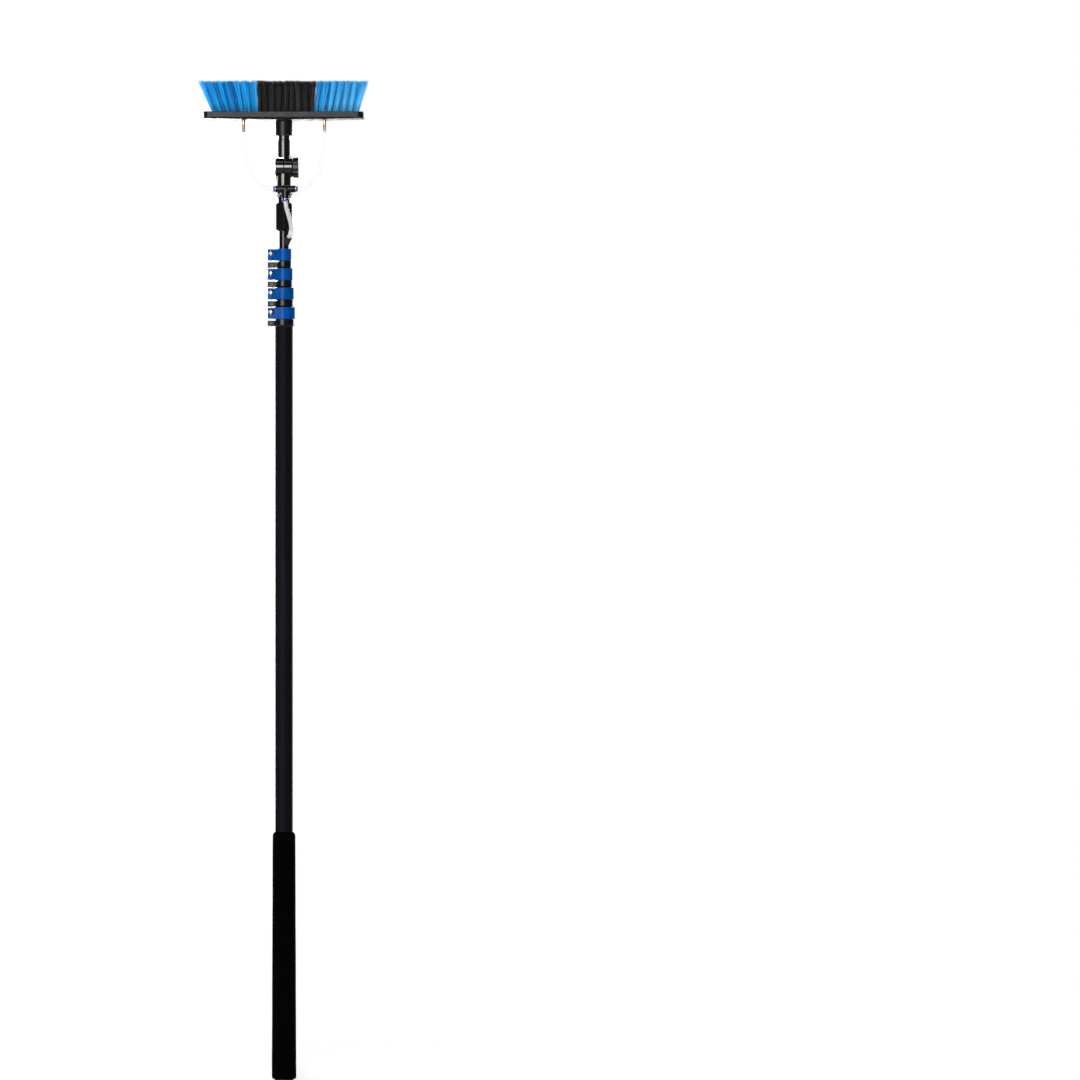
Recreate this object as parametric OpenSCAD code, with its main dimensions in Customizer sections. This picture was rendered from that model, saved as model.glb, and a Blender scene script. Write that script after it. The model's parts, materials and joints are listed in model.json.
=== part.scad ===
// Telescopic water-fed window cleaning pole: five nested tubes with flip clamps, an angle joint,
// a push-fit tee and a long brush with rinse jets. Millimetres, +Z up the pole, +X towards the
// joint knob, -Y is the front, origin at the centre of the butt's underside.

/* [Pole] */
// Outside diameter of the base tube
base_tube_d = 33; // [33:0.5:36]
// Step in outside diameter from one section to the next
section_step = 3.5; // [3.5:0.1:3.7]
// Wall of every tube
tube_wall = 1.2; // [1:0.1:1.2]
// Height of the lowest clamp above the butt
first_clamp_z = 1418; // [900:1:1600]
// Length of the tip tube that shows above the clamps
tip_show = 33; // [33:1:60]

/* [Grip and butt] */
// Length of the hand grip
grip_len = 463; // [200:1:600]
// Diameter of the grip at the butt
grip_d_low = 46; // [42:0.5:50]
// Diameter of the grip at its top
grip_d_high = 42.5; // [40:0.5:46]
// Diameter of the butt cap
cap_d = 36; // [35:0.5:40]
// Thickness of the butt cap's foot
cap_t = 8; // [6:0.5:12]

/* [Clamps] */
// Distance from one clamp to the next
clamp_pitch = 36.5; // [36.5:0.5:40]
// Distance from the pole's axis to the ends of the clamp ears
ear_reach = 30.4; // [29.5:0.1:31.5]
// Height of the levers at their boss
lever_h = 20.7; // [19:0.1:20.7]

/* [Angle joint] */
// Width across the flats of the hex sleeve
hex_af = 29.3; // [28:0.1:31]
// Height of the hex sleeve
hex_h = 53; // [50:1:60]
// Radius of the two joint discs
disc_r = 17.8; // [17.5:0.1:19]
// Radius of the knob
knob_r = 19; // [18:0.5:21]
// Number of flutes round the knob
knob_flutes = 8; // [6:1:10]

/* [Brush] */
// Width of the brush stock
stock_w = 300; // [290:1:320]
// Depth of the brush stock, front to back
stock_d = 62; // [58:1:70]
// Thickness of the brush stock at its middle
stock_t = 14.7; // [14:0.1:18]
// Length of the bristles
bristle_len = 59.5; // [45:0.5:65]
// Distance of each rinse jet from the middle
jet_x = 75.8; // [70:0.1:85]

/* [Hoses] */
// Outside diameter of the feed hose
hose_d = 8; // [7.8:0.1:8]
// Outside diameter of the jet tubes
jet_tube_d = 6; // [5.8:0.1:6]

/* [Hidden] */
$fn = 64;

// General allowances
fixed_gap = 0.05; // between pieces that are fixed to each other
run_gap = 0.05; // radial, between pieces that turn or slide on each other
eps = 1; // overrun of a cutting tool past the surface it cuts
top_section = 5; // number of the tip section
sections = [1:top_section];

// Colours
black_tube = [0.05, 0.045, 0.06];
black_plastic = [0.04, 0.04, 0.045];
black_foam = [0.03, 0.03, 0.03];
lever_blue = [0.03, 0.3, 0.68];
bristle_blue = [0.1, 0.5, 0.85];
collar_blue = [0.05, 0.15, 0.75];
steel = [0.75, 0.75, 0.77];
brass = [0.8, 0.65, 0.35];
clear = [0.9, 0.92, 0.95, 0.4];
nylon = [0.92, 0.92, 0.9];
rubber = [0.08, 0.08, 0.08];

// Clamp levels, measured up from the clamp's lower edge
collar_t = 2.8; // collar wall outside the tube it grips
collar_h = 13.9;
tube_stop_h = 12.2; // where the outer tube ends inside the clamp
band_t = 2; // wall of the slit band round the inner tube
band_top = clamp_pitch - 0.5;
ear_z = [0.5, 10.9]; // lower ears
upper_ear_z = [14.6, 34.2];
slit = 2.4;
lever_z = 14.1;
lever_gap = 0.3; // between the lever's wrap and the band
lever_t = 2.2; // wall of the lever's wrap
wrap_h = lever_h + 1.3;
boss_r = 6;
ear_y = 7; // half depth of the lower ears
upper_ear_y = 6;
pin_x = 0.1 + boss_r - ear_reach;
pin_y = -upper_ear_y - boss_r - 0.1;
pin_r = 3.2;
bolt_r = 2;
bolt_z = 27;
lever_open = 110; // degrees
bolt_swing = 41; // half angle that the bolt takes up at the pin's surface
window = [-2.9, 6.3, 4.3]; // of the lever: from and to along X from the pin, and half its height
window_rim = 0.8;
dimple_pitch = [3.3, 5.8];
dimple_start = 10.2; // from the pin to the first column of grip dimples
screw_x = -23.5;
screw_z = 5.7;

// Heights of the pole's upper parts
stack_top = first_clamp_z + (top_section - 1) * clamp_pitch;
hex_z = stack_top + tip_show;
neck_r = 11.1;
neck_h = 9;
arm_z = hex_z + hex_h + neck_h;
joint_z = arm_z + 57;
lower_arm_r = 13.7;
upper_arm_r = 12;
upper_arm_top = joint_z + 52;
socket_z = joint_z + 60;
socket_h = 29.3;
stock_z = socket_z + socket_h;
stock_top = stock_z + stock_t;
spigot_r = 10.9;
hex_spigot_r = 10;
hex_spigot_h = 30;

// Joint, measured along X from its seam
seam = 0.15; // half the gap between the discs
disc_clear = 0.4;
left_disc_x = 15.2;
right_disc_x = 16;
pad_r = 14;
pad_t = 1.8;
joint_bolt_r = 4;
bolt_head_x = [-14.6, -9];
bolt_head_af = 13;
bolt_end_x = 25;
knob_x = [right_disc_x + 0.3, 28.3];
washer_t = 1.2;

// Tee, with its arms along X
tee_x = 3.5;
tee_arm_r = 6.5;
tee_leg_r = 7;
tee_half = 18.75;
tee_y = -(lower_arm_r + tee_leg_r + 0.3);
tee_z = arm_z + 16;
tee_leg_z = arm_z - 2;
lug_x = [-5.6, 13.3];
lug_z = arm_z + 7;
lug_r = 3;
tie_r = 1.1;
tie_groove = [2.3, 2.6]; // depth and height of the tie's groove round the lower arm
tie_wrap_r = lower_arm_r - tie_groove[0] + tie_r + 0.1;
// Port sizes: [tube radius, cartridge bore, ring bore, rim radius, flange radius]
side_port = [jet_tube_d / 2, 5.2, 4.6, 5.8, 6.6];
feed_port = [hose_d / 2, 6.1, 5.45, 6.6, 7.4];
port_depth = 9; // of the cartridge bore
collar_travel = 1;

// Feed hose entry, a straight stretch at an angle through the tip tube's wall
entry_azimuth = -46;
entry_tilt = 36;
entry_z = hex_z - 17; // where the hose's axis crosses the tube's outside
entry_bore = 5;

// Bristle fields: [base start, base end, tip start, tip end] along X
left_field = [-134, -48.2, -158, -52];
middle_field = [-47.8, 56.8, -51.6, 60];
right_field = [57.2, 141, 60.4, 157];
field_depth = 46;
jet_clear_r = 5;

function section_r(k) = (base_tube_d - (k - 1) * section_step) / 2;
function section_bore(k) = section_r(k) - tube_wall;
function clamp_z(k) = first_clamp_z + (k - 1) * clamp_pitch;

// Guide plugs: a flange under the tube's end and a spigot inside it, stacked up the pole
plug_flange_h = 6;
plug_spigot_h = 18;
plug_bore = 5;
function plug_z(k) = 30 + (k - 2) * (plug_flange_h + plug_spigot_h + 0.5);
function section_bottom(k) = k == 1 ? cap_t + fixed_gap : plug_z(k) + plug_flange_h + fixed_gap;
function section_top(k) = k == top_section ? hex_z + hex_h - 5 : clamp_z(k) + tube_stop_h;

// Points along an arc, and along a cubic curve
function arc(c, r, a0, a1, n = 8) =
  [for (i = [0:n]) let (a = a0 + (a1 - a0) * i / n) [c[0] + r * cos(a), c[1] + r * sin(a)]];
function cubic(p, n) = [for (i = [0:n]) let (t = i / n, u = 1 - t)
  u * u * u * p[0] + 3 * u * u * t * p[1] + 3 * u * t * t * p[2] + t * t * t * p[3]];
function rounded_rect(lo, hi, r) = concat(
  arc([hi[0] - r, hi[1] - r], r, 0, 90), arc([lo[0] + r, hi[1] - r], r, 90, 180),
  arc([lo[0] + r, lo[1] + r], r, 180, 270), arc([hi[0] - r, lo[1] + r], r, 270, 360));
function unit(v) = v / norm(v);
function polar(r, a) = [r * cos(a), r * sin(a)];

// A cylinder along X from x0 to x1, and one along Y from y0 to y1
module rod_x(r, x0, x1) {
  translate([x0, 0, 0]) rotate([0, 90, 0]) cylinder(r = r, h = x1 - x0);
}
module rod_y(r, y0, y1) {
  translate([0, y0, 0]) rotate([-90, 0, 0]) cylinder(r = r, h = y1 - y0);
}
module ring(r_out, r_in, h) {
  difference() {
    cylinder(r = r_out, h = h);
    translate([0, 0, -eps]) cylinder(r = r_in, h = h + 2 * eps);
  }
}
// An XZ outline, extruded along Y by half either side of zero
module slab_y(points, half) {
  rotate([90, 0, 0]) translate([0, 0, -half]) linear_extrude(2 * half) polygon(points);
}
// Stands a shape that was drawn along +Z on the joint's axis, so that it runs along +X
module on_joint() {
  translate([0, 0, joint_z]) rotate([0, 90, 0]) children();
}

// A hollow tube through the path's points, with an outside and an inside radius at each point
module pipe(path, outside, inside, ref, sides = 20) {
  n = len(path);
  tangents = [for (i = [0:n - 1]) unit(path[min(i + 1, n - 1)] - path[max(i - 1, 0)])];
  function loop(i, r) = let (t = tangents[i], u = unit(cross(t, ref)), v = cross(t, u))
    [for (j = [0:sides - 1]) let (a = 360 * j / sides) path[i] + r * (cos(a) * u + sin(a) * v)];
  points = concat([for (i = [0:n - 1]) each loop(i, outside[i])],
    [for (i = [0:n - 1]) each loop(i, inside[i])]);
  inner = n * sides;
  last = (n - 1) * sides;
  walls = [for (i = [0:n - 2], j = [0:sides - 1])
    let (a = i * sides + j, b = i * sides + (j + 1) % sides) [a, a + sides, b + sides, b]];
  faces = concat(walls,
    [for (w = walls) [inner + w[3], inner + w[2], inner + w[1], inner + w[0]]],
    [for (j = [0:sides - 1]) let (k = (j + 1) % sides) [j, k, inner + k, inner + j]],
    [for (j = [0:sides - 1]) let (k = (j + 1) % sides)
      [last + k, last + j, inner + last + j, inner + last + k]]);
  polyhedron(points, faces);
}
// A solid cord through the path's points
module cord(path, r, ref, sides = 12) {
  n = len(path);
  tangents = [for (i = [0:n - 1]) unit(path[min(i + 1, n - 1)] - path[max(i - 1, 0)])];
  function loop(i) = let (t = tangents[i], u = unit(cross(t, ref)), v = cross(t, u))
    [for (j = [0:sides - 1]) let (a = 360 * j / sides) path[i] + r * (cos(a) * u + sin(a) * v)];
  walls = [for (i = [0:n - 2], j = [0:sides - 1])
    let (a = i * sides + j, b = i * sides + (j + 1) % sides) [a, a + sides, b + sides, b]];
  polyhedron([for (i = [0:n - 1]) each loop(i)], concat(walls,
    [[for (j = [0:sides - 1]) j]], [[for (j = [sides - 1:-1:0]) (n - 1) * sides + j]]));
}

// ---- Butt and grip ----

// Foot of the pole, with a spigot inside the base tube and a hole that the feed hose leaves by
module butt_cap() {
  spigot = section_bore(1) - fixed_gap;
  color(rubber) rotate_extrude() polygon([
    [9, 0], [cap_d / 2 - 1.5, 0], [cap_d / 2, 1.5], [cap_d / 2, cap_t], [spigot, cap_t],
    [spigot, cap_t + 16], [spigot - 1, cap_t + 17], [12.5, cap_t + 17], [12.5, cap_t + 1], [9, cap_t + 1]]);
}

// Foam sleeve that tapers upward to a rounded shoulder
module hand_grip() {
  bore = section_r(1) + fixed_gap;
  shoulder = 5;
  low = grip_d_low / 2;
  high = grip_d_high / 2;
  top = cap_t + grip_len;
  color(black_foam) rotate_extrude() polygon(concat(
    [[bore, cap_t + fixed_gap], [low - 1.5, cap_t + fixed_gap], [low, cap_t + 1.6]],
    [for (p = arc([0, 0], 1, 0, 90)) [high - shoulder + shoulder * p[0], top - 9 + 9 * p[1]]],
    [[bore, top]]));
}

// ---- Telescopic sections ----

module section_tube(k) {
  z = section_bottom(k);
  color(black_tube) translate([0, 0, z]) ring(section_r(k), section_bore(k), section_top(k) - z);
}
module base_tube() { section_tube(1); }

// The tip tube also has the slanted hole that the feed hose goes in by
module tip_tube() {
  difference() {
    section_tube(top_section);
    on_entry() cylinder(r = entry_bore, h = 40);
  }
}

// Plug on a section's lower end. Its flange runs in the next tube out, its bore passes the hose
module guide_plug(k) {
  color(black_plastic) translate([0, 0, plug_z(k)]) difference() {
    union() {
      cylinder(r = section_bore(k - 1) - run_gap, h = plug_flange_h);
      cylinder(r = section_bore(k) - fixed_gap, h = plug_flange_h + plug_spigot_h);
    }
    translate([0, 0, -eps]) cylinder(r = plug_bore, h = plug_flange_h + plug_spigot_h + 2 * eps);
  }
}

// ---- Flip clamps ----

// One moulding: a collar on section k, a slit band round section k + 1, and two pairs of ears
module clamp_body(k) {
  r = section_r(k);
  r_in = section_r(k + 1);
  color(black_plastic) translate([0, 0, clamp_z(k)]) difference() {
    union() {
      rotate_extrude() polygon([[0, 0], [r + 0.8, 0], [r + collar_t, 2.6],
        [r + collar_t, collar_h - 0.6], [r + collar_t - 0.6, collar_h], [0, collar_h]]);
      cylinder(r = r_in + band_t, h = band_top);
      slab_y(rounded_rect([-ear_reach, ear_z[0]], [0, ear_z[1]], 1.4), ear_y);
      slab_y(rounded_rect([-ear_reach + 1, upper_ear_z[0]], [0, upper_ear_z[1]], 1.4), upper_ear_y);
    }
    translate([0, 0, -eps]) cylinder(r = r + fixed_gap, h = tube_stop_h + fixed_gap + eps);
    cylinder(r = r_in + run_gap, h = band_top + eps);
    translate([-2 * ear_reach, -slit / 2, -eps]) cube([2 * ear_reach, slit, band_top + 2 * eps]);
    translate([-2 * ear_reach, -ear_reach, ear_z[1]])
      cube([2 * ear_reach - 0.75 * r, 2 * ear_reach, 2.5]);
    translate([pin_x, 0, bolt_z]) rod_y(bolt_r + 0.2, -ear_y - eps, ear_y + eps);
    translate([screw_x, 0, screw_z]) {
      rod_y(2.2, -ear_y - eps, 0);
      rod_y(2.05, 0, ear_y + eps);
      translate([0, -ear_y - eps, 0]) rotate([-90, 30, 0])
        cylinder(r = 4.7, h = 3.2 + eps, $fn = 6);
    }
  }
}

// Sector of a circle round the lever pin, as a cutting tool
module pin_sector(r, a0, a1, h) {
  linear_extrude(h, center = true) polygon(concat([[0, 0]], arc([0, 0], r, a0, a1, 12)));
}

// The lever's window as a block along Y, grown by rim on its four sides
module lever_window(rim, depth) {
  translate([window[0] - rim, 0, -window[2] - rim])
    cube([window[1] - window[0] + 2 * rim, depth, 2 * (window[2] + rim)]);
}

// Blue lever: a boss on the pin, a flat web, a wrap round the front and a turned-out tip
module clamp_lever(k) {
  r = section_r(k + 1) + band_t + lever_gap;
  ro = r + lever_t;
  end_a = -32;
  tip = [section_r(k + 1) + 4 + 0.6 * (top_section - 1 - k) - lever_t / 2, ro * sin(end_a) + 3];
  across = unit([tip[1] - ro * sin(end_a), ro * cos(end_a) - tip[0]]) * lever_t / 2;
  color(lever_blue) translate([0, 0, clamp_z(k) + lever_z]) difference() {
    union() {
      rotate([0, 0, 212]) rotate_extrude(angle = 116) translate([r, 0]) square([lever_t, wrap_h]);
      translate([pin_x, pin_y, 0]) cylinder(r = boss_r, h = lever_h);
      linear_extrude(lever_h) polygon(concat(
        [[pin_x + 4, pin_y + 4.2], [pin_x, pin_y], [pin_x, pin_y - boss_r], polar(ro - 0.2, 255)],
        arc([0, 0], r + 0.3, 255, 213)));
      linear_extrude(wrap_h) polygon([polar(r + 0.1, end_a), polar(r + 0.1, end_a - 3),
        polar(ro - 0.1, end_a - 3), polar(ro, end_a), tip + across, tip - across]);
      translate(tip) cylinder(r = lever_t / 2, h = wrap_h);
      // Raised rim round the window
      translate([pin_x, pin_y - boss_r - 0.35, bolt_z - lever_z])
        lever_window(window_rim, boss_r - 2);
    }
    translate([pin_x, pin_y, -eps]) cylinder(r = pin_r + run_gap, h = lever_h + 2 * eps);
    translate([pin_x, pin_y, bolt_z - lever_z]) {
      translate([0, -boss_r - eps, 0]) lever_window(0, boss_r + eps);
      pin_sector(boss_r + 0.6, -100, lever_open - 90 + bolt_swing, 6.4);
      pin_sector(boss_r + 1, 90 - bolt_swing, 90 + lever_open + bolt_swing, 5);
    }
    // Grip dimples, in columns that run from the flat web on to the curved wrap and fade out
    for (column = [0:5], row = [0:2]) {
      x = pin_x + dimple_start + dimple_pitch[0] * column;
      front = x < -5 ? pin_y - boss_r : -sqrt(ro * ro - x * x);
      translate([x, front, 4.4 + dimple_pitch[1] * (row + 0.5 * (column % 2))])
        rod_y(0.85 - 0.08 * column, -eps, 0.5);
    }
  }
}

// Barrel pin that the lever turns on, with a cross hole for the tension bolt
module lever_pin(k) {
  color(steel) translate([pin_x, pin_y, clamp_z(k) + lever_z + 0.4]) difference() {
    cylinder(r = pin_r, h = lever_h - 0.8);
    translate([0, 0, bolt_z - lever_z - 0.4]) rod_y(bolt_r + 0.04, -pin_r - eps, pin_r + eps);
  }
}

// Bolt through the upper ears and the barrel pin, with an adjusting nut end in the lever's window
module tension_bolt(k) {
  color(steel) translate([pin_x, 0, clamp_z(k) + bolt_z]) {
    rod_y(bolt_r, pin_y - pin_r - 1, upper_ear_y + 1);
    rod_y(2.8, pin_y - 5.4, pin_y - pin_r - fixed_gap);
    rod_y(4, upper_ear_y + fixed_gap, upper_ear_y + 3);
  }
}

// Socket-head screw that pinches the collar on the outer tube
module pinch_screw(k) {
  color(steel) translate([screw_x, 0, clamp_z(k) + screw_z]) difference() {
    union() {
      rod_y(3.5, -ear_y + 0.2, -ear_y + 3.15);
      rod_y(2, -ear_y + 1, ear_y - 0.5);
    }
    translate([0, -ear_y - eps, 0]) rotate([-90, 30, 0])
      cylinder(r = 1.75, h = 1.6 + eps + 0.2, $fn = 6);
  }
}

// ---- Tip of the pole ----

// Places children on the hose entry's axis, with +Z outward and up, from the pole's axis
module on_entry() {
  translate([0, 0, entry_z - section_r(top_section) / tan(entry_tilt)])
    rotate([0, entry_tilt, entry_azimuth]) children();
}

// Rubber saddle round the hose where it goes in
module hose_grommet() {
  tube_r = section_r(top_section) + fixed_gap;
  reach = (tube_r + 3.6) / sin(entry_tilt);
  color(rubber) difference() {
    on_entry() translate([0, 0, 4]) cylinder(r = 6.4, h = reach - 4);
    translate([0, 0, entry_z - 60]) cylinder(r = tube_r, h = 120);
    on_entry() cylinder(r = hose_d / 2 + 0.5, h = 40);
    translate([0, 0, hex_z - 0.3]) cylinder(r = 30, h = 30);
  }
}

// Hex sleeve bonded on the tip tube, with a turned neck and a spigot inside the joint arm
module hex_sleeve() {
  flat_r = hex_af / 2;
  corner_r = hex_af / sqrt(3);
  bevel_h = 3.9; // of the turned bevels, at the corners
  color(black_plastic) translate([0, 0, hex_z]) difference() {
    union() {
      intersection() {
        rotate([0, 0, 30]) cylinder(r = corner_r, h = hex_h, $fn = 6);
        rotate_extrude() polygon([[0, 0], [flat_r - 4, 0], [corner_r + 0.1, bevel_h],
          [corner_r + 0.1, hex_h - bevel_h], [flat_r - 1.2, hex_h], [0, hex_h]]);
      }
      cylinder(r = neck_r, h = hex_h + neck_h - fixed_gap);
      cylinder(r = hex_spigot_r, h = hex_h + neck_h + hex_spigot_h - 1);
    }
    translate([0, 0, -eps])
      cylinder(r = section_r(top_section) + fixed_gap, h = hex_h - 5 + 2 * fixed_gap + eps);
  }
}

// ---- Angle joint ----

// Lower arm: a socket on the hex sleeve's spigot, running up into the left disc
module lower_arm() {
  saddle = joint_z - disc_r - disc_clear;
  outline = concat([[-20, arm_z], [-20, joint_z - 6], [-seam, joint_z - 6], [-seam, joint_z - 12],
    [8, joint_z - 12]], arc([lower_arm_r - 5, saddle - 2], 5, 70, 0), [[lower_arm_r, arm_z]]);
  color(black_plastic) difference() {
    union() {
      difference() {
        intersection() {
          translate([0, 0, arm_z]) rotate_extrude() polygon(concat([[0, 0], [lower_arm_r - 3, 0]],
            arc([lower_arm_r - 3, 3], 3, -90, 0), [[lower_arm_r, 54], [0, 54]]));
          slab_y(outline, 30);
        }
        translate([0, 0, joint_z]) rod_x(disc_r + disc_clear, -seam, 30);
      }
      on_joint() translate([0, 0, -left_disc_x - 1.7]) rotate_extrude() polygon(concat(
        [[0, 0.6]], [[10, 0.6], [14, 0.8]], arc([disc_r - 2, 2.8], 2, -75, 0),
        [[disc_r, left_disc_x + 1.2 - seam], [disc_r - 0.5, left_disc_x + 1.7 - seam],
         [0, left_disc_x + 1.7 - seam]]));
      // Gusset from the arm to the disc
      slab_y([[-lower_arm_r - 0.5, joint_z - 24], [-15.4, joint_z - 17], [-13, joint_z - 10],
        [-1, joint_z - 10], [-1, joint_z - 24]], 8);
    }
    translate([0, 0, arm_z - eps]) cylinder(r = hex_spigot_r + fixed_gap, h = hex_spigot_h + eps);
    translate([0, 0, lug_z - tie_groove[1] / 2])
      ring(lower_arm_r + eps, lower_arm_r - tie_groove[0], tie_groove[1]);
    on_joint() {
      translate([0, 0, -left_disc_x]) cylinder(r = joint_bolt_r + 0.1, h = 2 * left_disc_x);
      translate([0, 0, -30]) cylinder(r = bolt_head_af / sqrt(3) + 0.1, h = 30 + bolt_head_x[1], $fn = 6);
      translate([0, 0, -30]) cylinder(r = 9.5, h = 30 + bolt_head_x[0] - 0.4);
      translate([0, 0, -pad_t / 2]) cylinder(r = pad_r + 0.1, h = pad_t);
    }
  }
}

// Upper arm: the right disc, the arm above it and the spigot that the brush fits on
module upper_arm() {
  floor_z = joint_z + disc_r + disc_clear;
  outline = concat([[upper_arm_r, upper_arm_top], [-upper_arm_r - 1, upper_arm_top]],
    arc([-upper_arm_r + 5, floor_z + 5], 5, 180, 270), [[-seam, floor_z], [-seam, joint_z + 10],
    [14, joint_z + 10], [20, upper_arm_top]]);
  color(black_plastic) difference() {
    union() {
      difference() {
        intersection() {
          translate([0, 0, joint_z + 8]) rotate_extrude() polygon([[0, 0], [upper_arm_r, 0],
            [upper_arm_r, 43.2], [upper_arm_r - 0.8, 44], [0, 44]]);
          slab_y(outline, 30);
        }
        translate([0, 0, joint_z]) rod_x(disc_r + disc_clear, -30, seam);
      }
      on_joint() translate([0, 0, seam]) rotate_extrude() polygon([[0, 0], [disc_r - 0.5, 0],
        [disc_r, 0.5], [disc_r, right_disc_x - seam - 1], [disc_r - 1, right_disc_x - seam],
        [0, right_disc_x - seam]]);
      slab_y([[seam, joint_z + 10], [seam, joint_z + 23], [upper_arm_r - 0.4, joint_z + 23],
        [right_disc_x - 0.5, joint_z + 17.4], [right_disc_x - 0.5, joint_z + 10]], 7);
      cylinder_z(spigot_r, upper_arm_top - 1, stock_z - 4.5);
    }
    on_joint() {
      cylinder(r = joint_bolt_r + run_gap, h = 30);
      cylinder(r = pad_r + 0.1, h = pad_t / 2 + 0.1);
    }
  }
}
module cylinder_z(r, z0, z1) {
  translate([0, 0, z0]) cylinder(r = r, h = z1 - z0);
}

// Friction pad between the discs
module friction_disc() {
  color(rubber) on_joint() translate([0, 0, -pad_t / 2 + fixed_gap])
    ring(pad_r, joint_bolt_r + 0.1, pad_t - 2 * fixed_gap);
}

// Bolt held in the left disc by its hex head
module joint_bolt() {
  color(steel) on_joint() {
    translate([0, 0, bolt_head_x[0]])
      cylinder(r = bolt_head_af / sqrt(3), h = bolt_head_x[1] - bolt_head_x[0] - fixed_gap, $fn = 6);
    translate([0, 0, bolt_head_x[0] + 1]) cylinder(r = joint_bolt_r, h = bolt_end_x - bolt_head_x[0] - 1);
  }
}

// Domed cover over the bolt's head
module bolt_cover() {
  color(black_plastic) on_joint() translate([0, 0, -left_disc_x - 1.7]) rotate_extrude()
    polygon([[0, 0], [5, 0.08], [8.5, 0.4], [9.4, 1.2], [9.4, 1.7], [0, 1.7]]);
}

// Washer between the right disc and the knob
module knob_washer() {
  color(steel) on_joint() translate([0, 0, right_disc_x + fixed_gap])
    ring(8.5, joint_bolt_r + 0.1, washer_t);
}

// Brass insert moulded in the knob
module knob_insert() {
  color(brass) on_joint() translate([0, 0, right_disc_x + washer_t + 2 * fixed_gap]) difference() {
    cylinder(r = 6.5, h = 8, $fn = 6);
    translate([0, 0, -eps]) cylinder(r = joint_bolt_r + run_gap, h = 8 + 2 * eps);
  }
}

// Fluted knob with a domed end
module knob() {
  length = knob_x[1] - knob_x[0];
  color(black_plastic) on_joint() translate([0, 0, knob_x[0]]) difference() {
    rotate_extrude() polygon(concat([[0, 0], [knob_r - 2.2, 0], [knob_r - 0.6, 0.8]],
      arc([knob_r - 2, length - 3], 2, 0, 75), [[knob_r - 6, length - 0.4], [0, length]]));
    for (i = [0:knob_flutes - 1])
      rotate([0, 0, (i + 0.5) * 360 / knob_flutes]) translate([knob_r + 2.6, 0, -eps])
        cylinder(r = 4.2, h = length + 2 * eps);
    translate([0, 0, -eps]) cylinder(r = 8.7, h = washer_t + eps);
    translate([0, 0, -eps]) cylinder(r = 6.5 + fixed_gap, h = eps + washer_t + 8, $fn = 6);
    translate([0, 0, -eps]) cylinder(r = joint_bolt_r + 0.2, h = eps + bolt_end_x - knob_x[0] + 0.5);
  }
}

// ---- Brush ----

// Height of the stock's underside above its middle, at a distance x from it
function crown(x) = 2.2 * pow(2 * x / stock_w, 2);

// Stock and socket in one moulding: crowned below, bevelled lower edges, rounded in plan
module brush_stock() {
  steps = 12;
  half = stock_w / 2;
  underside = [for (i = [-steps:steps]) let (x = half * i / steps) [x, stock_z + crown(x)]];
  color(black_plastic) difference() {
    union() {
      intersection() {
        translate([0, 0, stock_z - eps]) linear_extrude(stock_t + 2 * eps)
          polygon(rounded_rect([-half, -stock_d / 2], [half, stock_d / 2], 11));
        slab_y(concat(underside, [[half, stock_top - 1], [half - 1, stock_top],
          [-half + 1, stock_top], [-half, stock_top - 1]]), stock_d);
        rotate([0, 0, 90]) slab_y([[-stock_d / 2 + 3.2, stock_z - 0.5], [-stock_d / 2, stock_z + 4.2],
          [-stock_d / 2, stock_top - 1], [-stock_d / 2 + 1, stock_top], [stock_d / 2 - 1, stock_top],
          [stock_d / 2, stock_top - 1], [stock_d / 2, stock_z + 4.2], [stock_d / 2 - 3.2, stock_z - 0.5]],
          stock_w);
      }
      translate([0, 0, socket_z]) rotate_extrude() polygon(concat([[0, 0], [15.4, 0], [16.05, 0.7],
        [16.6, socket_h - 3.5]], arc([15.1, socket_h - 3.5], 1.5, 0, 80), [[14.4, socket_h + 1],
        [0, socket_h + 1]]));
    }
    cylinder_z(spigot_r + 0.1, socket_z - eps, stock_z - 4);
    for (x = [-jet_x, jet_x]) translate([x, 0, 0]) {
      cylinder_z(3.05, stock_z - eps, stock_z + 8.5);
      cylinder_z(1.5, stock_z, stock_top + eps);
      cylinder_z(2.55, stock_top - 4, stock_top + eps);
    }
  }
}

// One field of bristles as a plain block, leaning out towards its ends, open over its rinse jet
module bristle_field(field, jets) {
  z = stock_top + fixed_gap;
  difference() {
    slab_y([[field[0], z], [field[2], z + bristle_len], [field[3], z + bristle_len], [field[1], z]],
      field_depth / 2);
    for (x = jets) translate([x, 0, 0]) cylinder_z(jet_clear_r, z - eps, z + bristle_len + eps);
  }
}
module bristles_left() { color(bristle_blue) bristle_field(left_field, [-jet_x]); }
module bristles_middle() { color(black_foam) bristle_field(middle_field, []); }
module bristles_right() { color(bristle_blue) bristle_field(right_field, [jet_x]); }

// Brass hose barbs under the stock: thread, turned body and four barbs
module jet_barbs() {
  top = stock_z + crown(jet_x) - fixed_gap;
  barb_pitch = 3.3;
  low = top - 22.8;
  teeth = [for (i = [3:-1:0]) each [[2.65, low + i * barb_pitch + 3.2], [3.3, low + i * barb_pitch + 2.7],
    [2.65, low + i * barb_pitch]]];
  color(brass) for (x = [-jet_x, jet_x]) translate([x, 0, 0]) rotate_extrude()
    polygon(concat([[1.5, low], [1.5, stock_z + 8], [3, stock_z + 8], [3, top], [3.2, top], [3.7, top - 0.6],
      [3.7, top - 8.2], [3.1, top - 9]], teeth));
}

// Small rinse nozzles in the top of the stock, among the bristles
module jet_nozzles() {
  color(brass) for (x = [-jet_x, jet_x]) translate([x, 0, 0]) rotate_extrude()
    polygon([[0.8, stock_top - 3.9], [2.5, stock_top - 3.9], [2.5, stock_top + 0.1], [3.6, stock_top + 0.1],
      [3.6, stock_top + 1.6], [2.4, stock_top + 3.2], [0.8, stock_top + 3.2]]);
}

// ---- Push-fit tee ----

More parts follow.
